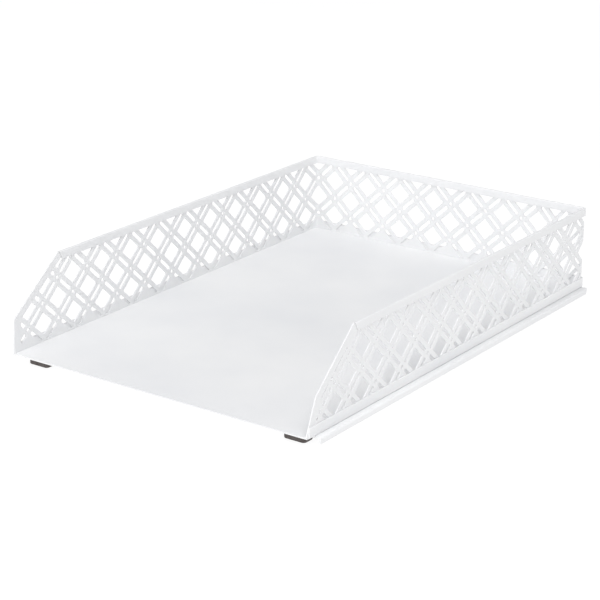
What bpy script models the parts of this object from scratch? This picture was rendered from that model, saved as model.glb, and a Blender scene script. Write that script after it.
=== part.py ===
"""Stackable letter tray in powder-coated sheet steel.

A flat pan with a low upturned lip carries a double-trellis wall, bent round the left, back and
right sides and closed along the top by a folded channel.  The side walls slope down to an open
front.  Two Z-section stacking rails run under the long edges, and four rubber pads sit under the
corners.

Metres, +Z up, the open front faces -Y.  The origin is under the middle of the tray, at the level
of the soles of the pads.
"""
from math import cos, hypot, pi, sin

import bmesh
import bpy
from mathutils import Vector

MM = 0.001
GAP = 0.3 * MM                      # clearance between pieces that touch in the real tray

# pan: floor with an upturned lip on three sides
DEPTH = 346.0 * MM                  # front edge of the floor to the back of the lip
PAN_T = 0.9 * MM
FLOOR_Z = 5.4 * MM                  # underside of the floor
LIP_TOP = 12.2 * MM
LIP_SETBACK = 1.5 * MM              # the lip stops this far behind the front edge
PAN_BEND = 2.2 * MM                 # outer radius between floor and lip

# perforated wall
WALL_T = 0.8 * MM
WALL_SPAN = 234.0 * MM              # between the mid-planes of the two side walls
WALL_BOTTOM = 7.3 * MM              # clear of the pan's inner bend
WALL_TOP = 63.7 * MM
WALL_FRONT = -DEPTH / 2
CORNER_R = 2.5 * MM                 # mid-plane radius of the two upright bends
BEND_SEGMENTS = 4
FRONT_Z = 29.6 * MM                 # where the upright front edge meets the slope
LEFT_RAKE, RIGHT_RAKE = 1.3 * MM, 9.6 * MM        # how far each front edge leans back
LEFT_SLOPE, RIGHT_SLOPE = 45.4 * MM, 48.6 * MM    # from the front to the top of each slope

# top channel
RIM_T = 0.4 * MM
RIM_TOP = 64.5 * MM
RIM_BOTTOM = 59.1 * MM
RIM_SETBACK = 0.9 * MM              # from the top of the slope to the end of the channel

# trellis: crossings lie on a grid of half pitches, every other point used
PITCH = 30.0 * MM
ROW_0 = 61.2 * MM                   # row of crossings hidden in the channel
ROW_STEP = 14.13 * MM
HOLE_R = 1.3 * MM
SLOT_W = 2.6 * MM
SLOT_END = 3.65 * MM                # from a crossing to the end of a slot
WINDOW = 0.568                      # size of a window against its cell
FRONT_MARGIN = 6.3 * MM             # plain border along the upright front edge
SLOPE_MARGIN = 5.1 * MM             # plain border along the slope
TOP_LIMIT = 60.2 * MM               # openings stop inside the channel
BOTTOM_LIMIT = 8.6 * MM             # openings stop above the lower edge of the wall
BACK_CELLS = 8
SIDE_CELLS = 12
BACK_START = -115.0 * MM            # column 0, in the left bend
EVEN_CELLS = 6                      # the back's last cells narrow toward the right bend

# stacking rails
RAIL_T = 1.0 * MM
RAIL_IN = 113.3 * MM
RAIL_OUT = 122.8 * MM
RAIL_BOTTOM = 1.4 * MM
RAIL_FRONT = -166.0 * MM
RAIL_BACK = 170.0 * MM
RAIL_RAKE = 2.0 * MM                # the back end is cut at a slant

# rubber pads
PAD_X, PAD_Y = 16.2 * MM, 10.0 * MM
PAD_R = 2.5 * MM
PAD_EDGE = 0.6 * MM
PAD_LEFT_X, PAD_RIGHT_X = -100.4 * MM, 104.8 * MM
PAD_CENTRE_Y = 163.5 * MM

WHITE = (0.86, 0.86, 0.87, 1.0)
RUBBER = (0.13, 0.11, 0.105, 1.0)

BACK_MID = DEPTH / 2 - PAN_T - GAP - WALL_T / 2       # mid-plane of the back wall
FLAT_HALF = WALL_SPAN / 2 - CORNER_R                  # half the flat run of the back wall
QUARTER = pi / 2 * CORNER_R
CORNER_U = FLAT_HALF + QUARTER / 2                    # middle of a bend, along the wall
SQUEEZE = (BACK_START + BACK_CELLS * PITCH - CORNER_U) / (BACK_CELLS - EVEN_CELLS) ** 2
SIDE_ORIGIN = BACK_MID - CORNER_R + QUARTER / 2       # where s = 0 on a side wall
SIDE_FRONT = SIDE_ORIGIN - WALL_FRONT


def collection(name):
    made = bpy.data.collections.new(name)
    bpy.context.scene.collection.children.link(made)
    return made


def material(name, colour, roughness):
    made = bpy.data.materials.new(name)
    made.use_nodes = True
    shader = made.node_tree.nodes["Principled BSDF"]
    shader.inputs["Base Color"].default_value = colour
    shader.inputs["Roughness"].default_value = roughness
    shader.inputs["Metallic"].default_value = 0.0
    return made


def add_object(name, mesh, group, location=(0, 0, 0), rotation=(0, 0, 0)):
    made = bpy.data.objects.new(name, mesh)
    made.location = location
    made.rotation_euler = rotation
    group.objects.link(made)
    return made


def paint(obj, colour, roughness):
    obj.data.materials.clear()
    obj.data.materials.append(material(obj.name + "_surface", colour, roughness))


def plate_mesh(name, outlines, thickness):
    """Flat sheet in XY, centred on Z = 0, from closed outlines; the first is the outer edge."""
    curve = bpy.data.curves.new(name, "CURVE")
    curve.dimensions = "2D"
    curve.fill_mode = "BOTH"
    curve.extrude = thickness / 2
    for outline in outlines:
        spline = curve.splines.new("POLY")
        spline.points.add(len(outline) - 1)
        for point, (x, y) in zip(spline.points, outline):
            point.co = (x, y, 0.0, 1.0)
        spline.use_cyclic_u = True
    temporary = bpy.data.objects.new(name, curve)
    bpy.context.scene.collection.objects.link(temporary)
    evaluated = temporary.evaluated_get(bpy.context.evaluated_depsgraph_get())
    mesh = bpy.data.meshes.new_from_object(evaluated)
    mesh.name = name
    bpy.data.objects.remove(temporary)
    bpy.data.curves.remove(curve)
    with_bmesh(mesh, lambda bm: bmesh.ops.remove_doubles(bm, verts=bm.verts, dist=0.00001))
    return mesh


def with_bmesh(mesh, work):
    bm = bmesh.new()
    bm.from_mesh(mesh)
    work(bm)
    bmesh.ops.recalc_face_normals(bm, faces=bm.faces)
    bm.to_mesh(mesh)
    bm.free()


def cut(bm, point, normal, drop=False):
    """Cut the sheet at a plane; with drop, what lies beyond the plane goes and the cut is closed."""
    everything = bm.verts[:] + bm.edges[:] + bm.faces[:]
    bmesh.ops.bisect_plane(bm, geom=everything, dist=1e-7, plane_co=point, plane_no=normal,
                           clear_outer=drop)
    if drop:
        rim = [edge for edge in bm.edges if edge.is_boundary]
        bmesh.ops.holes_fill(bm, edges=rim, sides=0)


def arc(centre, radius, start, stop, steps):
    return [(centre[0] + radius * cos(start + (stop - start) * i / steps),
             centre[1] + radius * sin(start + (stop - start) * i / steps))
            for i in range(steps + 1)]


def clip(outline, limits):
    """Keep the part of a convex outline inside every limit (a, b, c): a x + b y <= c."""
    for a, b, c in limits:
        kept = []
        for (x0, y0), (x1, y1) in zip(outline, outline[1:] + outline[:1]):
            d0, d1 = a * x0 + b * y0 - c, a * x1 + b * y1 - c
            if d0 <= 0:
                kept.append((x0, y0))
            if d0 * d1 < 0:
                t = d0 / (d0 - d1)
                kept.append((x0 + t * (x1 - x0), y0 + t * (y1 - y0)))
        outline = kept
    return outline


def area(outline):
    return abs(sum(x0 * y1 - x1 * y0 for (x0, y0), (x1, y1)
                   in zip(outline, outline[1:] + outline[:1]))) / 2


def slot(start, stop):
    """Long opening between two crossings, its ends drawn in to a point."""
    length = hypot(stop[0] - start[0], stop[1] - start[1])
    ax, ay = (stop[0] - start[0]) / length, (stop[1] - start[1]) / length
    half = SLOT_W / 2
    profile = [(SLOT_END, 0), (SLOT_END + half * 0.7, -half), (length - SLOT_END - half * 0.7, -half),
               (length - SLOT_END, 0), (length - SLOT_END - half * 0.7, half),
               (SLOT_END + half * 0.7, half)]
    return [(start[0] + ax * t - ay * n, start[1] + ay * t + ax * n) for t, n in profile]


def trellis(station, first, last, limits):
    """Openings between half-pitch columns first..last; station(i) is the place of column i.

    Crossings sit where row + column is odd, windows where it is even.
    """
    def point(i, j):
        return station(i), ROW_0 - j * ROW_STEP

    limits = [(0, 1, TOP_LIMIT), (0, -1, -BOTTOM_LIMIT)] + limits
    shapes = []
    for i in range(first, last + 1):
        for j in range(0, 5):
            if (i + j) % 2 == 0:
                if j < 4:
                    x, z = point(i, j)
                    nearby = [point(i - 1, j), point(i, j + 1), point(i + 1, j), point(i, j - 1)]
                    shapes.append([(x + WINDOW * (nx - x), z + WINDOW * (nz - z))
                                   for nx, nz in nearby])
                continue
            if 0 < j < 4:
                shapes.append(arc(point(i, j), HOLE_R, 0, 2 * pi, 6)[:-1])
            for step in (-1, 1):
                if j < 4:
                    shapes.append(slot(point(i, j), point(i + step, j + 1)))
    clipped = [clip(shape, limits) for shape in shapes]
    return [shape for shape in clipped if len(shape) > 2 and area(shape) > 1.5 * MM * MM]


def border(start, stop, margin):
    """Limit that keeps openings a margin to the left of the edge from start to stop."""
    run, rise = stop[0] - start[0], stop[1] - start[1]
    a, b = rise / hypot(run, rise), -run / hypot(run, rise)
    return a, b, a * start[0] + b * start[1] - margin


def side_wall_mesh(rake, slope, column_0):
    """Flat side wall: X runs forward from the bend, Y is height."""
    toe, knee = (SIDE_FRONT, WALL_BOTTOM), (SIDE_FRONT - rake, FRONT_Z)
    crown = (SIDE_FRONT - slope, RIM_TOP)
    edges = [border(toe, knee, FRONT_MARGIN), border(knee, crown, SLOPE_MARGIN)]
    step_back = crown[0] - RIM_SETBACK + GAP
    spare = -PITCH
    outer = [(spare, WALL_BOTTOM), toe, knee, crown, (step_back, RIM_TOP), (step_back, WALL_TOP),
             (spare, WALL_TOP)]
    holes = trellis(lambda i: i * PITCH / 2 if i else column_0, 0, 2 * SIDE_CELLS, edges)
    mesh = plate_mesh("side_wall", [outer] + holes, WALL_T)
    seam = QUARTER / 2 + GAP
    with_bmesh(mesh, lambda bm: cut(bm, (seam, 0, 0), (-1, 0, 0), drop=True))
    return mesh


def bend(bm):
    """Fold the ends of the flat back wall forward round the two upright bends."""
    turns = [pi / 2 * i / BEND_SEGMENTS for i in range(BEND_SEGMENTS + 1)]
    for turn in turns[:-1]:
        for side in (-1, 1):
            cut(bm, (side * (FLAT_HALF + CORNER_R * turn), 0, 0), (side, 0, 0))
    for vert in bm.verts:
        side = 1 if vert.co.x > 0 else -1
        beyond = abs(vert.co.x) - FLAT_HALF
        if beyond <= 0:
            continue
        place = min(beyond / QUARTER * BEND_SEGMENTS, BEND_SEGMENTS)
        index = min(int(place + 1e-6), BEND_SEGMENTS - 1)
        radius = CORNER_R - vert.co.z
        ends = [Vector((side * (FLAT_HALF + radius * sin(t)), CORNER_R - radius * cos(t)))
                for t in turns[index:index + 2]]
        folded = ends[0].lerp(ends[1], place - index)
        vert.co.x, vert.co.z = folded.x, folded.y


def back_wall_mesh():
    """Back wall with both bends: X runs across, Y is height, Z points into the tray."""
    def station(i):
        k = i / 2
        if k < 0:
            return -CORNER_U + k * PITCH
        if k > BACK_CELLS:
            return CORNER_U + (k - BACK_CELLS) * PITCH
        return BACK_START + k * PITCH - SQUEEZE * max(0.0, k - EVEN_CELLS) ** 2

    ends = FLAT_HALF + QUARTER
    spare = ends + PITCH
    outer = [(-spare, WALL_BOTTOM), (spare, WALL_BOTTOM), (spare, WALL_TOP), (-spare, WALL_TOP)]
    holes = trellis(station, -1, 2 * BACK_CELLS + 1, [])
    mesh = plate_mesh("back_wall", [outer] + holes, WALL_T)

    def finish(bm):
        for side in (-1, 1):
            cut(bm, (side * ends, 0, 0), (side, 0, 0), drop=True)
        bend(bm)

    with_bmesh(mesh, finish)
    return mesh


def u_outline(half, overhang):
    """Plan of a band, 2 * half wide, that follows the wall's mid-plane round both bends.

    Its ends lie RIM_SETBACK behind the tops of the slopes, or further forward by overhang.
    """
    left, right = (WALL_FRONT + slope + RIM_SETBACK - overhang for slope in (LEFT_SLOPE, RIGHT_SLOPE))
    y = BACK_MID - CORNER_R
    outer = arc((FLAT_HALF, y), CORNER_R + half, 0, pi / 2, BEND_SEGMENTS)
    inner = arc((FLAT_HALF, y), CORNER_R - half, pi / 2, 0, BEND_SEGMENTS)
    x_out, x_in = WALL_SPAN / 2 + half, WALL_SPAN / 2 - half
    return ([(x_out, right)] + outer + [(-x, y) for x, y in reversed(outer)] + [(-x_out, left)]
            + [(-x_in, left)] + [(-x, y) for x, y in reversed(inner)] + inner + [(x_in, right)])


def subtract(obj, cutter):
    cutter.hide_render = True
    cutter.display_type = "WIRE"
    difference = obj.modifiers.new(cutter.name, "BOOLEAN")
    difference.operation = "DIFFERENCE"
    difference.solver = "EXACT"
    difference.object = cutter


def pan_block(name, inset, bottom, top, front, bend_radius):
    """Block with rounded upright back edges and a rounded lower edge on three sides."""
    half = WALL_SPAN / 2 + WALL_T / 2 + GAP + PAN_T - inset
    back = DEPTH / 2 - inset
    mesh = bpy.data.meshes.new(name)
    bm = bmesh.new()
    bmesh.ops.create_cube(bm, size=1.0)
    bmesh.ops.scale(bm, vec=(2 * half, back - front, top - bottom), verts=bm.verts)
    bmesh.ops.translate(bm, vec=(0, (back + front) / 2, (top + bottom) / 2), verts=bm.verts)
    upright = [e for e in bm.edges if abs(e.verts[0].co.z - e.verts[1].co.z) > 0.001
               and e.verts[0].co.y > 0]
    radius = CORNER_R + WALL_T / 2 + GAP + PAN_T - inset
    bmesh.ops.bevel(bm, geom=upright, offset=radius, segments=BEND_SEGMENTS, profile=0.5,
                    affect="EDGES")
    lower = [e for e in bm.edges if max(v.co.z for v in e.verts) < bottom + 1e-6
             and max(v.co.y for v in e.verts) > front + 1e-6]
    bmesh.ops.bevel(bm, geom=lower, offset=bend_radius, segments=3, profile=0.5, affect="EDGES")
    bmesh.ops.recalc_face_normals(bm, faces=bm.faces)
    bm.to_mesh(mesh)
    bm.free()
    return mesh


def lip_ends_mesh():
    """Two blocks that take off the front ends of the lip, outside the walls."""
    mesh = bpy.data.meshes.new("lip_ends")
    bm = bmesh.new()
    for side in (-1, 1):
        block = bmesh.ops.create_cube(bm, size=0.02)["verts"]
        shift = (side * (WALL_SPAN / 2 + WALL_T / 2 + 0.01), LIP_SETBACK - DEPTH / 2 - 0.01, 0.01)
        bmesh.ops.translate(bm, vec=shift, verts=block)
    bm.to_mesh(mesh)
    bm.free()
    return mesh


def rail_mesh():
    """Z-section: a strip under the floor, a ledge beyond the lip and a short skirt."""
    top, bottom, outer, inner = FLOOR_Z - GAP, RAIL_BOTTOM, RAIL_OUT, RAIL_IN
    soft = 1.4 * MM
    outline = ([(inner, top)] + arc((outer - soft, top - soft), soft, pi / 2, 0, 3)
               + [(outer, bottom), (outer - RAIL_T, bottom), (outer - RAIL_T, top - RAIL_T),
                  (inner, top - RAIL_T)])
    mesh = plate_mesh("rail", [outline], RAIL_BACK - RAIL_FRONT)
    rake = Vector((0, top - bottom, RAIL_RAKE)).normalized()
    normal = Vector((0, rake.z, -rake.y))
    low_end = (0, bottom, -(RAIL_BACK - RAIL_FRONT) / 2 + RAIL_RAKE)
    with_bmesh(mesh, lambda bm: cut(bm, low_end, (0, -abs(normal.y), -abs(normal.z)), drop=True))
    return mesh


def pad_mesh():
    x, y = PAD_X / 2 - PAD_R, PAD_Y / 2 - PAD_R
    corners = [(x, y, 0), (-x, y, pi / 2), (-x, -y, pi), (x, -y, 3 * pi / 2)]
    outline = [p for cx, cy, turn in corners for p in arc((cx, cy), PAD_R, turn, turn + pi / 2, 3)]
    height = FLOOR_Z - GAP
    mesh = plate_mesh("pad", [outline], height)

    def soften(bm):
        sole = [e for e in bm.edges if max(v.co.z for v in e.verts) < 0
                and not e.is_boundary and e.calc_face_angle(0) > 1.0]
        bmesh.ops.bevel(bm, geom=sole, offset=PAD_EDGE, segments=2, profile=0.5, affect="EDGES")

    with_bmesh(mesh, soften)
    return mesh


for old in list(bpy.data.objects):
    bpy.data.objects.remove(old, do_unlink=True)

tray = collection("letter_tray")
cutters = collection("cutters")
upright = (pi / 2, 0, 0)

base_pan = add_object("base_pan", pan_block("base_pan", 0, FLOOR_Z, LIP_TOP, -DEPTH / 2, PAN_BEND),
                      tray)
hollow = pan_block("pan_hollow", PAN_T, FLOOR_Z + PAN_T, LIP_TOP + 0.02, -DEPTH / 2 - 0.02,
                   PAN_BEND - PAN_T)
subtract(base_pan, add_object("pan_hollow", hollow, cutters))
subtract(base_pan, add_object("lip_ends", lip_ends_mesh(), cutters))

walls = [add_object("wall_back", back_wall_mesh(), tray, (0, BACK_MID, 0), upright)]
fronts = (("left", -1, LEFT_RAKE, LEFT_SLOPE, -CORNER_U - BACK_START),
          ("right", 1, RIGHT_RAKE, RIGHT_SLOPE, 0.0))
for side, sign, rake, slope, column_0 in fronts:
    place = (sign * WALL_SPAN / 2, SIDE_ORIGIN, 0)
    sheet = side_wall_mesh(rake, slope, column_0)
    walls.append(add_object("wall_" + side, sheet, tray, place, (pi / 2, 0, -pi / 2)))

rim_half = WALL_T / 2 + GAP + RIM_T
band = plate_mesh("top_rim", [u_outline(rim_half, 0.0)], RIM_TOP - RIM_BOTTOM)
top_rim = add_object("top_rim", band, tray, (0, 0, (RIM_TOP + RIM_BOTTOM) / 2))
groove_top = RIM_TOP - RIM_T
groove_low = RIM_BOTTOM - 0.005
groove = plate_mesh("rim_groove", [u_outline(rim_half - RIM_T, 0.005)],
                    groove_top - groove_low)
subtract(top_rim, add_object("rim_groove", groove, cutters, (0, 0, (groove_top + groove_low) / 2)))

rail = rail_mesh()
rail_y = (RAIL_FRONT + RAIL_BACK) / 2
rails = [add_object("rail_right", rail, tray, (0, rail_y, 0), upright)]
mirrored = rail.copy()
with_bmesh(mirrored, lambda bm: bmesh.ops.scale(bm, vec=(-1, 1, 1), verts=bm.verts))
rails.append(add_object("rail_left", mirrored, tray, (0, rail_y, 0), upright))

pad = pad_mesh()
pads = []
for end, sign in (("front", -1), ("back", 1)):
    for side, x in (("left", PAD_LEFT_X), ("right", PAD_RIGHT_X)):
        place = (x, sign * PAD_CENTRE_Y, (FLOOR_Z - GAP) / 2)
        pads.append(add_object("pad_" + end + "_" + side, pad.copy(), tray, place))

for piece in [base_pan, top_rim] + walls + rails:
    paint(piece, WHITE, 0.45)
for piece in pads:
    paint(piece, RUBBER, 0.75)
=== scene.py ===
"""Looks of the letter tray: finer sheet-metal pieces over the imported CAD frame, their materials,
a pale floor, soft light and the camera.  Metres throughout, in the frame of the CAD model."""
from math import cos, hypot, pi, radians, sin, tan

import bmesh
import bpy
from mathutils import Matrix, Vector


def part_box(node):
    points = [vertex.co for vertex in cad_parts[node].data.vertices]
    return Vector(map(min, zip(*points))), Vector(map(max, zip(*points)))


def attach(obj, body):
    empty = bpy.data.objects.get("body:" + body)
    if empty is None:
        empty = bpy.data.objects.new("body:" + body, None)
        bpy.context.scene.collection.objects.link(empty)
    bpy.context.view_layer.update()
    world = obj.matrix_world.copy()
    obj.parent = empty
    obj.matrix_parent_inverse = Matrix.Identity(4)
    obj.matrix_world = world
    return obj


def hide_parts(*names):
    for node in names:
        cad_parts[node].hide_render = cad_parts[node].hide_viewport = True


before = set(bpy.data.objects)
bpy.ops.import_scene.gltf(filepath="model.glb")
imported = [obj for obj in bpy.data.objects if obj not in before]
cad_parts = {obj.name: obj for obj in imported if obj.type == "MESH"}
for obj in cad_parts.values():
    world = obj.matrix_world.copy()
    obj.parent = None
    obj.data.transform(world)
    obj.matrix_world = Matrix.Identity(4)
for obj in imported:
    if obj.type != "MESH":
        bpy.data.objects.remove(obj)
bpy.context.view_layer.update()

MM = 0.001
GAP = 0.3 * MM
EDGE = 0.12 * MM                    # rounding of a coated sheet edge
SEAM = 0.02 * MM                    # coated sheets pressed together leave no open joint

pan_low, pan_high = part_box("base_pan")
rim_low, rim_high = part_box("top_rim")
_, back_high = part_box("wall_back")
side_low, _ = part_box("wall_right")
rail_low, rail_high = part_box("rail_right")

# perforated wall, as in the CAD
WALL_T = 0.8 * MM
WALL_SPAN = 234.0 * MM
CORNER_R = 2.5 * MM
WALL_TOP = back_high.z
WALL_FRONT = side_low.y
RIM_TOP = rim_high.z
RIM_BOTTOM = rim_low.z
RIM_T = 0.4 * MM
RIM_SETBACK = 0.9 * MM
RIM_SLANT = 2.6 * MM                # the channel's ends lean back toward their lower edge
CHANNEL_T = RIM_T + 0.2 * MM        # thicker than in the CAD, so that less of the gap shows
CHANNEL_FOLD_R = 0.75 * MM
FRONT_Z = 29.6 * MM
LEFT_RAKE, RIGHT_RAKE = 1.3 * MM, 9.6 * MM
LEFT_SLOPE, RIGHT_SLOPE = 45.4 * MM, 48.6 * MM
PITCH = 30.0 * MM
ROW_0 = 61.2 * MM
ROW_STEP = 14.13 * MM
ROWS = 4
HOLE_R = 1.3 * MM
SLOT_W = 2.6 * MM
SLOT_END = 3.65 * MM
WINDOW = 0.568
WINDOW_R = 0.75 * MM
SMALLEST_OPENING = 1.5 * MM * MM    # smaller scraps of an opening are left out
FRONT_MARGIN = 6.3 * MM
SLOPE_MARGIN = 5.1 * MM
TOP_LIMIT = 60.2 * MM
BOTTOM_LIMIT = 7.7 * MM
BACK_CELLS, SIDE_CELLS, EVEN_CELLS = 8, 12, 6
BACK_START = -115.0 * MM
BEND_STEPS = 8
FOLD_STEPS = 6

# pan, rails and pads
PAN_T = 0.9 * MM
WALL_BOTTOM = pan_low.z + PAN_T + SEAM
PAN_BEND = 0.8 * MM
PAN_INNER_BEND = 0.1 * MM
LIP_T = PAN_T + GAP - SEAM           # the lip lies against the wall
LIP_SETBACK = 1.5 * MM
RAIL_T = 1.0 * MM
RAIL_RAKE = 2.0 * MM
LIP_EDGE_R = 0.2 * MM
RAIL_FOLD_R = 1.4 * MM
PAD_CORNER_R, PAD_SOLE_R = 2.5 * MM, 0.6 * MM

BACK_MID = back_high.y - WALL_T / 2
FLAT_HALF = WALL_SPAN / 2 - CORNER_R
QUARTER = pi / 2 * CORNER_R
CORNER_U = FLAT_HALF + QUARTER / 2
BEND_Y = BACK_MID - CORNER_R
SIDE_ORIGIN = BEND_Y + QUARTER / 2
SIDE_FRONT = SIDE_ORIGIN - WALL_FRONT
SQUEEZE = (BACK_START + BACK_CELLS * PITCH - CORNER_U) / (BACK_CELLS - EVEN_CELLS) ** 2
FRONTS = ((1, RIGHT_RAKE, RIGHT_SLOPE), (-1, LEFT_RAKE, LEFT_SLOPE))


# ---------------------------------------------------------------- outlines

def arc(centre, radius, start, stop, steps):
    return [(centre[0] + radius * cos(start + (stop - start) * i / steps),
             centre[1] + radius * sin(start + (stop - start) * i / steps))
            for i in range(steps + 1)]


def clip(outline, limits):
    """Keep the part of a convex outline inside every limit (a, b, c): a x + b y <= c."""
    for a, b, c in limits:
        kept = []
        for (x0, y0), (x1, y1) in zip(outline, outline[1:] + outline[:1]):
            d0, d1 = a * x0 + b * y0 - c, a * x1 + b * y1 - c
            if d0 <= 0:
                kept.append((x0, y0))
            if d0 * d1 < 0:
                t = d0 / (d0 - d1)
                kept.append((x0 + t * (x1 - x0), y0 + t * (y1 - y0)))
        outline = kept
    return outline


def signed_area(outline):
    return sum(x0 * y1 - x1 * y0 for (x0, y0), (x1, y1)
               in zip(outline, outline[1:] + outline[:1])) / 2


def rounded(outline, radius, steps=5):
    """Round every corner of a convex outline, as far as its shortest edges allow."""
    made, count = [], len(outline)
    for i in range(count):
        before, here, after = (Vector(outline[(i + k) % count]) for k in (-1, 0, 1))
        back, ahead = before - here, after - here
        if min(back.length, ahead.length) < 1e-6:
            continue
        half = back.angle(ahead) / 2
        if half > pi / 2 - 0.02:
            made.append(tuple(here))
            continue
        reach = min(radius / tan(half), back.length * 0.499, ahead.length * 0.499)
        r = reach * tan(half)
        centre = here + (back.normalized() + ahead.normalized()).normalized() * (r / sin(half))
        first, last = here + back.normalized() * reach, here + ahead.normalized() * reach
        for k in range(steps + 1):
            point = (first - centre).lerp(last - centre, k / steps)
            made.append(tuple(centre + point.normalized() * r))
    return made


def slot(start, stop):
    a, b = Vector(start), Vector(stop)
    along = (b - a).normalized()
    across = Vector((-along.y, along.x)) * SLOT_W / 2
    a, b = a + along * SLOT_END, b - along * SLOT_END
    return [tuple(a - across), tuple(b - across), tuple(b + across), tuple(a + across)]


def border(start, stop, side, margin):
    """Limit that keeps openings a margin behind the edge from start to stop."""
    run, rise = stop[0] - start[0], stop[1] - start[1]
    length = hypot(run, rise)
    a, b = rise / length, -run / length
    return side * a, b, a * start[0] + b * start[1] - margin


def station(i):
    """Place of half-pitch column i along the whole strip; 0 and 16 are the two bends."""
    last = 2 * BACK_CELLS
    if i < 0:
        return -CORNER_U + i * PITCH / 2
    if i > last:
        return CORNER_U + (i - last) * PITCH / 2
    k = i / 2
    return BACK_START + k * PITCH - SQUEEZE * max(0.0, k - EVEN_CELLS) ** 2


def front_edges(rake, slope):
    far = CORNER_U + SIDE_FRONT
    return (far, WALL_BOTTOM), (far - rake, FRONT_Z), (far - slope, RIM_TOP)


def trellis():
    """Windows, slots and holes of the strip, rounded as a punch leaves them."""
    limits = [(0, 1, TOP_LIMIT), (0, -1, -BOTTOM_LIMIT)]
    for side, rake, slope in FRONTS:
        toe, knee, crown = front_edges(rake, slope)
        limits += [border(toe, knee, side, FRONT_MARGIN), border(knee, crown, side, SLOPE_MARGIN)]

    def point(i, j):
        return station(i), ROW_0 - j * ROW_STEP

    shapes = []
    for i in range(-2 * SIDE_CELLS, 2 * (BACK_CELLS + SIDE_CELLS) + 1):
        for j in range(ROWS + 1):
            if (i + j) % 2 == 0:
                if j < ROWS:
                    x, z = point(i, j)
                    corners = [point(i - 1, j), point(i, j + 1), point(i + 1, j), point(i, j - 1)]
                    shapes.append(([(x + WINDOW * (a - x), z + WINDOW * (b - z))
                                    for a, b in corners], WINDOW_R))
                continue
            if 0 < j < ROWS:
                shapes.append((arc(point(i, j), HOLE_R, 0, 2 * pi, 20)[:-1], 0))
            for step in (-1, 1):
                if j < ROWS:
                    shapes.append((slot(point(i, j), point(i + step, j + 1)), SLOT_W / 2 - 1e-6))
    made = []
    for shape, radius in shapes:
        kept = clip(shape, limits)
        if len(kept) > 2 and abs(signed_area(kept)) > SMALLEST_OPENING:
            made.append(rounded(kept, radius) if radius else kept)
    return made


# ---------------------------------------------------------------- meshes

def face_outward(bm):
    """Turn every face outward; a closed mesh that is inside out has a negative volume."""
    bmesh.ops.recalc_face_normals(bm, faces=bm.faces)
    if bm.calc_volume(signed=True) < 0:
        bmesh.ops.reverse_faces(bm, faces=bm.faces)


def edit(mesh, work):
    bm = bmesh.new()
    bm.from_mesh(mesh)
    work(bm)
    face_outward(bm)
    bm.to_mesh(mesh)
    bm.free()


def cut(bm, point, normal, drop=False):
    everything = bm.verts[:] + bm.edges[:] + bm.faces[:]
    bmesh.ops.bisect_plane(bm, geom=everything, dist=1e-7, plane_co=point, plane_no=normal,
                           clear_outer=drop)
    if drop:
        open_edges = [edge for edge in bm.edges if edge.is_boundary]
        bmesh.ops.holes_fill(bm, edges=open_edges, sides=0)


def plate(name, outlines, thickness, edge, edge_steps=1):
    """Flat sheet in XY, centred on Z = 0, its edges rounded; the first outline is the outer one."""
    curve = bpy.data.curves.new(name, "CURVE")
    curve.dimensions = "2D"
    curve.fill_mode = "BOTH"
    curve.extrude = thickness / 2 - edge
    curve.bevel_depth = edge
    curve.bevel_resolution = edge_steps
    curve.offset = -edge
    for index, outline in enumerate(outlines):
        if (signed_area(outline) > 0) != (index == 0):
            outline = outline[::-1]
        spline = curve.splines.new("POLY")
        spline.points.add(len(outline) - 1)
        for point, (x, y) in zip(spline.points, outline):
            point.co = (x, y, 0.0, 1.0)
        spline.use_cyclic_u = True
    holder = bpy.data.objects.new(name, curve)
    bpy.context.scene.collection.objects.link(holder)
    evaluated = holder.evaluated_get(bpy.context.evaluated_depsgraph_get())
    mesh = bpy.data.meshes.new_from_object(evaluated)
    bpy.data.objects.remove(holder)
    bpy.data.curves.remove(curve)
    mesh.name = name
    edit(mesh, lambda bm: bmesh.ops.remove_doubles(bm, verts=bm.verts, dist=1e-6))
    return mesh


def strip_mesh():
    """The perforated wall: one strip, punched flat and then bent round the back corners."""
    outer = []
    for side, rake, slope in FRONTS:
        toe, knee, crown = front_edges(rake, slope)
        step = crown[0] - RIM_SETBACK + GAP
        edge = [toe, knee, crown, (step, RIM_TOP), (step, WALL_TOP)]
        outer += edge if side > 0 else [(-x, z) for x, z in reversed(edge)]
    mesh = plate("perforated_wall", [outer] + trellis(), WALL_T, EDGE)
    turns = [FLAT_HALF + QUARTER * k / BEND_STEPS for k in range(BEND_STEPS + 1)]

    def bend(bm):
        for u in turns:
            for side in (-1, 1):
                cut(bm, (side * u, 0, 0), (1, 0, 0))
        for vert in bm.verts:
            u, height, inward = vert.co
            side, beyond = (1 if u > 0 else -1), abs(u) - FLAT_HALF
            if beyond <= 0:
                vert.co = (u, BACK_MID - inward, height)
            elif beyond < QUARTER:
                turn, radius = beyond / CORNER_R, CORNER_R - inward
                vert.co = (side * (FLAT_HALF + radius * sin(turn)), BEND_Y + radius * cos(turn),
                           height)
            else:
                vert.co = (side * (WALL_SPAN / 2 - inward), BEND_Y - (beyond - QUARTER), height)

    edit(mesh, bend)
    return mesh


def u_path(right_front, left_front, steps=10):
    """Stations (centre x, y, outward x, y) from the right front round to the left one."""
    turns = [pi / 2 * k / steps for k in range(steps + 1)]
    bend = [(FLAT_HALF, BEND_Y, cos(turn), sin(turn)) for turn in turns]
    back = [(-cx, cy, -dx, dy) for cx, cy, dx, dy in reversed(bend)]
    return ([(FLAT_HALF, right_front, 1.0, 0.0)] + bend + back
            + [(-FLAT_HALF, left_front, -1.0, 0.0)])


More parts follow.
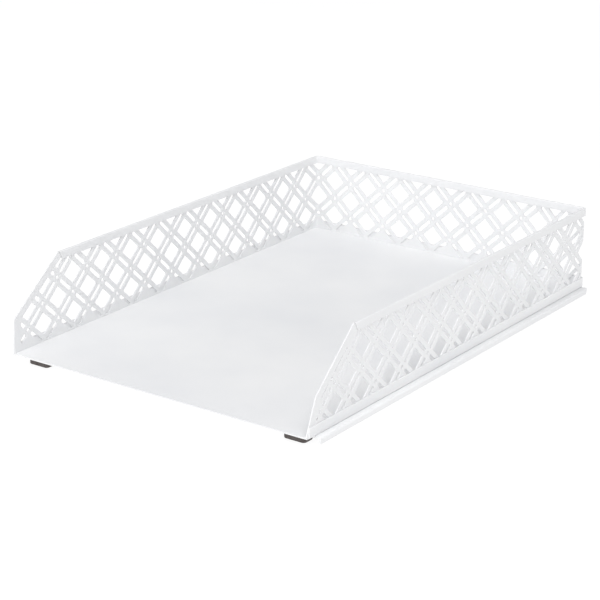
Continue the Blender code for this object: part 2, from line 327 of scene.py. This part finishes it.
def sweep(bm, pairs, path, close_first=True):
    """Carry a sheet section, given as (outer, inner) point pairs of (offset, height), along a path.

    Returns the rings of outer and inner vertices, one list of each per station.
    """
    rings = []
    for cx, cy, dx, dy in path:
        ring = []
        for pair in pairs:
            ring.append([bm.verts.new((cx + dx * (CORNER_R + n), cy + dy * (CORNER_R + n), z))
                         for n, z in pair])
        rings.append(ring)
    last = len(pairs) - 1
    for a, b in zip(rings, rings[1:]):
        for k in range(last):
            bm.faces.new((a[k][0], b[k][0], b[k + 1][0], a[k + 1][0]))
            bm.faces.new((a[k][1], a[k + 1][1], b[k + 1][1], b[k][1]))
        bm.faces.new((a[last][0], b[last][0], b[last][1], a[last][1]))
        if close_first:
            bm.faces.new((a[0][0], a[0][1], b[0][1], b[0][0]))
    for ring in (rings[0], rings[-1]):
        for k in range(last):
            bm.faces.new((ring[k][0], ring[k + 1][0], ring[k + 1][1], ring[k][1]))
    return rings


def finish_mesh(bm, name):
    face_outward(bm)
    mesh = bpy.data.meshes.new(name)
    bm.to_mesh(mesh)
    bm.free()
    return mesh


def channel_mesh():
    """Folded channel over the top edge of the wall, its two folds softly rounded."""
    half, soft = WALL_T / 2 + GAP + RIM_T, CHANNEL_FOLD_R
    tight, top = soft - CHANNEL_T, RIM_TOP - soft
    right = [((half, RIM_BOTTOM), (half - CHANNEL_T, RIM_BOTTOM))]
    for k in range(FOLD_STEPS + 1):
        a = pi / 2 * k / FOLD_STEPS
        right.append(((half - soft + soft * cos(a), top + soft * sin(a)),
                      (half - soft + tight * cos(a), top + tight * sin(a))))
    left = [tuple((-n, z) for n, z in pair) for pair in reversed(right)]
    bm = bmesh.new()
    ends = [WALL_FRONT + slope + RIM_SETBACK for side, rake, slope in FRONTS]
    rings = sweep(bm, right + left, u_path(*ends))
    for vert in [v for ring in (rings[0], rings[-1]) for pair in ring for v in pair]:
        vert.co.y += RIM_SLANT * (RIM_TOP - vert.co.z) / (RIM_TOP - RIM_BOTTOM)
    return finish_mesh(bm, "top_channel")


def pan_mesh():
    """Floor with an upturned lip on three sides, one sheet, its bends rounded."""
    outside = WALL_T / 2 + GAP + PAN_T
    floor, hip = pan_low.z, outside - PAN_BEND
    inner_hip = outside - LIP_T - PAN_INNER_BEND
    soft = LIP_EDGE_R
    pairs = []
    for k in range(FOLD_STEPS + 1):
        a = pi / 2 * k / FOLD_STEPS
        pairs.append(((hip + PAN_BEND * sin(a), floor + PAN_BEND * (1 - cos(a))),
                      (inner_hip + PAN_INNER_BEND * sin(a),
                       floor + PAN_T + PAN_INNER_BEND * (1 - cos(a)))))
    for k in range(4):
        a = pi / 2 * k / 3
        rise, inset = pan_high.z - soft + soft * sin(a), soft * (1 - cos(a))
        pairs.append(((outside - inset, rise), (outside - LIP_T + inset, rise)))
    bm = bmesh.new()
    front = pan_low.y
    rings = sweep(bm, pairs, u_path(front + LIP_SETBACK, front + LIP_SETBACK), close_first=False)
    x = FLAT_HALF + CORNER_R + hip
    right = [bm.verts.new((x, front, z)) for z in (floor, floor + PAN_T)]
    left = [bm.verts.new((-x, front, z)) for z in (floor, floor + PAN_T)]
    for side in (0, 1):
        bm.faces.new([right[side]] + [ring[0][side] for ring in rings] + [left[side]])
    bm.faces.new((right[0], right[1], left[1], left[0]))
    bm.faces.new((right[0], rings[0][0][0], rings[0][0][1], right[1]))
    bm.faces.new((left[0], rings[-1][0][0], rings[-1][0][1], left[1]))
    return finish_mesh(bm, "floor_pan")


def rail_mesh(name, side):
    """Z-section stacking rail: a ledge under the pan's edge and a short skirt."""
    top, bottom, outer, inner = pan_low.z - SEAM, rail_low.z, rail_high.x, rail_low.x
    soft = RAIL_FOLD_R
    outline = ([(inner, top)] + arc((outer - soft, top - soft), soft, pi / 2, 0, 8)
               + [(outer, bottom), (outer - RAIL_T, bottom)]
               + arc((outer - soft, top - soft), soft - RAIL_T, 0, pi / 2, 5)
               + [(inner, top - RAIL_T)])
    length = rail_high.y - rail_low.y
    mesh = plate(name, [outline], length, EDGE)
    mesh.transform(Matrix.Translation((0, (rail_high.y + rail_low.y) / 2, 0))
                   @ Matrix.Rotation(pi / 2, 4, "X"))
    slant = Vector((0, top - bottom, -RAIL_RAKE)).normalized()
    edit(mesh, lambda bm: cut(bm, (0, rail_high.y - RAIL_RAKE, bottom), slant, drop=True))
    if side < 0:
        mesh.transform(Matrix.Scale(-1, 4, (1, 0, 0)))
        edit(mesh, lambda bm: None)    # turns the mirrored faces outward again
    return mesh


def pad_mesh(name, low, high):
    """Moulded rubber foot with rounded corners and a softened sole."""
    corner, soft = PAD_CORNER_R, PAD_SOLE_R
    x, y = (high.x - low.x) / 2 - corner, (high.y - low.y) / 2 - corner
    spots = [(x, y, 0), (-x, y, pi / 2), (-x, -y, pi), (x, -y, 3 * pi / 2)]
    outline = [p for cx, cy, turn in spots for p in arc((cx, cy), corner, turn, turn + pi / 2, 8)]
    mesh = plate(name, [outline], high.z - low.z, soft, 4)
    mesh.transform(Matrix.Translation((low + high) / 2))
    return mesh


# ---------------------------------------------------------------- materials

def node(tree, kind, **values):
    made = tree.nodes.new(kind)
    for key, value in values.items():
        if hasattr(made, key):
            setattr(made, key, value)
        else:
            made.inputs[key.replace("_", " ")].default_value = value
    return made


def noise(tree, where, scale, detail, roughness=0.5):
    made = node(tree, "ShaderNodeTexNoise", Scale=scale, Detail=detail, Roughness=roughness)
    tree.links.new(where, made.inputs["Vector"])
    return made.outputs["Fac"]


def ramp(tree, value, low, high, start, stop):
    """Map value from low..high to start..stop; greys or colours."""
    made = node(tree, "ShaderNodeValToRGB")
    for element, place, shade in zip(made.color_ramp.elements, (low, high), (start, stop)):
        element.position = place
        element.color = shade if len(shade) == 4 else (*shade, 1.0)
    tree.links.new(value, made.inputs["Fac"])
    return made.outputs["Color"]


def grey(value):
    return (value, value, value)


def bump(tree, height, distance, normal=None):
    made = node(tree, "ShaderNodeBump", Strength=1.0, Distance=distance)
    tree.links.new(height, made.inputs["Height"])
    if normal is not None:
        tree.links.new(normal, made.inputs["Normal"])
    return made.outputs["Normal"]


def blank_material(name):
    made = bpy.data.materials.new(name)
    made.use_nodes = True
    tree = made.node_tree
    shader = next(n for n in tree.nodes if n.type == "BSDF_PRINCIPLED")
    return made, tree, shader


PEEL_DEPTH, GRAIN_DEPTH, PEBBLE_DEPTH = 0.00005, 0.000012, 0.00008
RUBBER_DARK, RUBBER_LIGHT = (0.060, 0.050, 0.047), (0.120, 0.106, 0.101)


def powder_coat(name, dark, light, offset):
    """White powder coat: faint cloudiness, orange peel about 1.5 mm across and a fine grain."""
    made, tree, shader = blank_material(name)
    coords = node(tree, "ShaderNodeTexCoord")
    shift = node(tree, "ShaderNodeMapping", Location=offset)
    tree.links.new(coords.outputs["Object"], shift.inputs["Vector"])
    where = shift.outputs["Vector"]
    cloud = noise(tree, where, 14.0, 3.0)
    peel = noise(tree, where, 620.0, 2.0)
    grain = noise(tree, where, 3600.0, 3.0, 0.6)
    tree.links.new(ramp(tree, cloud, 0.3, 0.7, dark, light), shader.inputs["Base Color"])
    tree.links.new(ramp(tree, grain, 0.3, 0.7, grey(0.40), grey(0.52)), shader.inputs["Roughness"])
    normal = bump(tree, peel, PEEL_DEPTH)
    tree.links.new(bump(tree, grain, GRAIN_DEPTH, normal), shader.inputs["Normal"])
    shader.inputs["Metallic"].default_value = 0.0
    shader.inputs["Specular IOR Level"].default_value = 0.45
    return made


def rubber(name):
    """Dark brown moulded rubber, matt, with a fine pebble and paler scuffs."""
    made, tree, shader = blank_material(name)
    where = node(tree, "ShaderNodeTexCoord").outputs["Object"]
    scuff = noise(tree, where, 260.0, 4.0, 0.65)
    pebble = noise(tree, where, 2400.0, 2.0)
    tree.links.new(ramp(tree, scuff, 0.35, 0.75, RUBBER_DARK, RUBBER_LIGHT),
                   shader.inputs["Base Color"])
    tree.links.new(ramp(tree, pebble, 0.3, 0.7, grey(0.58), grey(0.78)), shader.inputs["Roughness"])
    tree.links.new(bump(tree, pebble, PEBBLE_DEPTH), shader.inputs["Normal"])
    shader.inputs["Specular IOR Level"].default_value = 0.4
    return made


# ---------------------------------------------------------------- pieces

SMOOTH_ANGLE, WALL_SMOOTH_ANGLE = 28.0, 20.0     # degrees; sharper folds keep a hard edge


def paint_shade_on_border_edges(mesh, material):
    """Give the cut edges that face backward beside the two front borders their own, darker
    material: painted shade on these thin edge faces.
    """
    mesh.materials.append(material)
    for face in mesh.polygons:
        if face.normal.y > 0.85 and face.center.y < WALL_FRONT + RIGHT_RAKE + MM:
            face.material_index = 1


def piece(name, mesh, material, stands_for, smooth=SMOOTH_ANGLE, painted_shade_material=None):
    made = bpy.data.objects.new(name, mesh)
    bpy.context.scene.collection.objects.link(made)
    mesh.materials.clear()
    mesh.materials.append(material)
    if painted_shade_material:
        paint_shade_on_border_edges(mesh, painted_shade_material)
    mesh.shade_smooth()
    mesh.set_sharp_from_angle(angle=radians(smooth))
    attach(made, "root")
    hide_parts(*stands_for)
    return made


COAT_DARK, COAT_LIGHT = (0.790, 0.795, 0.805), (0.835, 0.838, 0.843)
PAN_DARK = (0.780, 0.787, 0.802)
# painted shade: a darker grey for the thin cut edges beside the two front borders
SHADED_EDGE_DARK, SHADED_EDGE_LIGHT = (0.58, 0.58, 0.59), (0.64, 0.64, 0.65)
strip_coat = powder_coat("coat_wall", COAT_DARK, COAT_LIGHT, (0.0, 0.0, 0.0))
pan_coat = powder_coat("coat_pan", PAN_DARK, COAT_LIGHT, (0.7, 0.2, 0.0))
channel_coat = powder_coat("coat_channel", COAT_DARK, COAT_LIGHT, (0.1, 0.9, 0.3))
rail_coat = powder_coat("coat_rail", COAT_DARK, COAT_LIGHT, (0.5, 0.4, 0.8))
# painted shade on the cut edges beside the front borders, not a different coat
painted_shade_edge_coat = powder_coat("coat_cut_edge_painted_shade", SHADED_EDGE_DARK, SHADED_EDGE_LIGHT, (0.3, 0.1, 0.6))
pad_rubber = rubber("rubber_pad")

piece("perforated_wall", strip_mesh(), strip_coat,
      ("wall_back", "wall_left", "wall_right"), WALL_SMOOTH_ANGLE, painted_shade_edge_coat)
piece("top_channel", channel_mesh(), channel_coat, ("top_rim",))
piece("floor_pan", pan_mesh(), pan_coat, ("base_pan",))
for side_name, sign in (("left", -1), ("right", 1)):
    piece("stacking_rail_" + side_name, rail_mesh("stacking_rail_" + side_name, sign), rail_coat,
          ("rail_" + side_name,))
for corner_name in ("front_left", "front_right", "back_left", "back_right"):
    low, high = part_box("pad_" + corner_name)
    piece("foot_" + corner_name, pad_mesh("foot_" + corner_name, low, high), pad_rubber,
          ("pad_" + corner_name,))


# ---------------------------------------------------------------- floor, light, camera

STUDIO_HALF = 6.0
FLOOR_GLOW = 0.88
AIR_COLOUR, AIR_STRENGTH = (0.98, 0.985, 1.0, 1.0), 0.48
FOCAL_MM, SENSOR_MM = 118.74, 36.0
CAMERA_PLACE = (0.73445, -1.04927, 0.47280)
CAMERA_TURN = (radians(70.4806), radians(-0.3453), radians(35.5049))


def stage_floor():
    mesh = bpy.data.meshes.new("studio_floor")
    size = STUDIO_HALF
    mesh.from_pydata([(-size, -size, 0), (size, -size, 0), (size, size, 0), (-size, size, 0)], [],
                     [(0, 1, 2, 3)])
    made = bpy.data.objects.new("studio_floor", mesh)
    bpy.context.scene.collection.objects.link(made)
    material, tree, shader = blank_material("studio_floor_paper")
    where = node(tree, "ShaderNodeTexCoord").outputs["Object"]
    tree.links.new(ramp(tree, noise(tree, where, 6.0, 2.0), 0.3, 0.7, grey(0.15), grey(0.17)),
                   shader.inputs["Base Color"])
    shader.inputs["Roughness"].default_value = 0.9
    shader.inputs["Specular IOR Level"].default_value = 0.1
    shader.inputs["Emission Color"].default_value = (1, 1, 1, 1)
    shader.inputs["Emission Strength"].default_value = FLOOR_GLOW
    mesh.materials.append(material)


def soft_light(name, place, target, size, power):
    light = bpy.data.lights.new(name, "AREA")
    light.shape = "RECTANGLE"
    light.size = light.size_y = size
    light.energy = power
    made = bpy.data.objects.new(name, light)
    bpy.context.scene.collection.objects.link(made)
    made.location = place
    made.rotation_euler = (Vector(target) - Vector(place)).to_track_quat("-Z", "Y").to_euler()


stage_floor()
soft_light("key_softbox", (0.7, -0.5, 2.2), (0, 0, 0.02), size=1.4, power=26.2)
soft_light("front_softbox", (-0.3, -2.4, 1.0), (0, 0, 0.03), size=1.6, power=25.0)
soft_light("right_softbox", (2.4, -0.7, 0.8), (0, 0, 0.03), size=1.4, power=8.6)

world = bpy.data.worlds.new("studio_air")
bpy.context.scene.world = world
world.use_nodes = True
air = next(n for n in world.node_tree.nodes if n.type == "BACKGROUND")
air.inputs["Color"].default_value = AIR_COLOUR
air.inputs["Strength"].default_value = AIR_STRENGTH

lens = bpy.data.cameras.new("camera")
lens.lens = FOCAL_MM
lens.sensor_width = SENSOR_MM
lens.clip_start = 0.05
lens.clip_end = 50.0
camera = bpy.data.objects.new("camera", lens)
bpy.context.scene.collection.objects.link(camera)
camera.location = CAMERA_PLACE
camera.rotation_euler = CAMERA_TURN
bpy.context.scene.camera = camera
bpy.context.scene.view_settings.view_transform = "Standard"
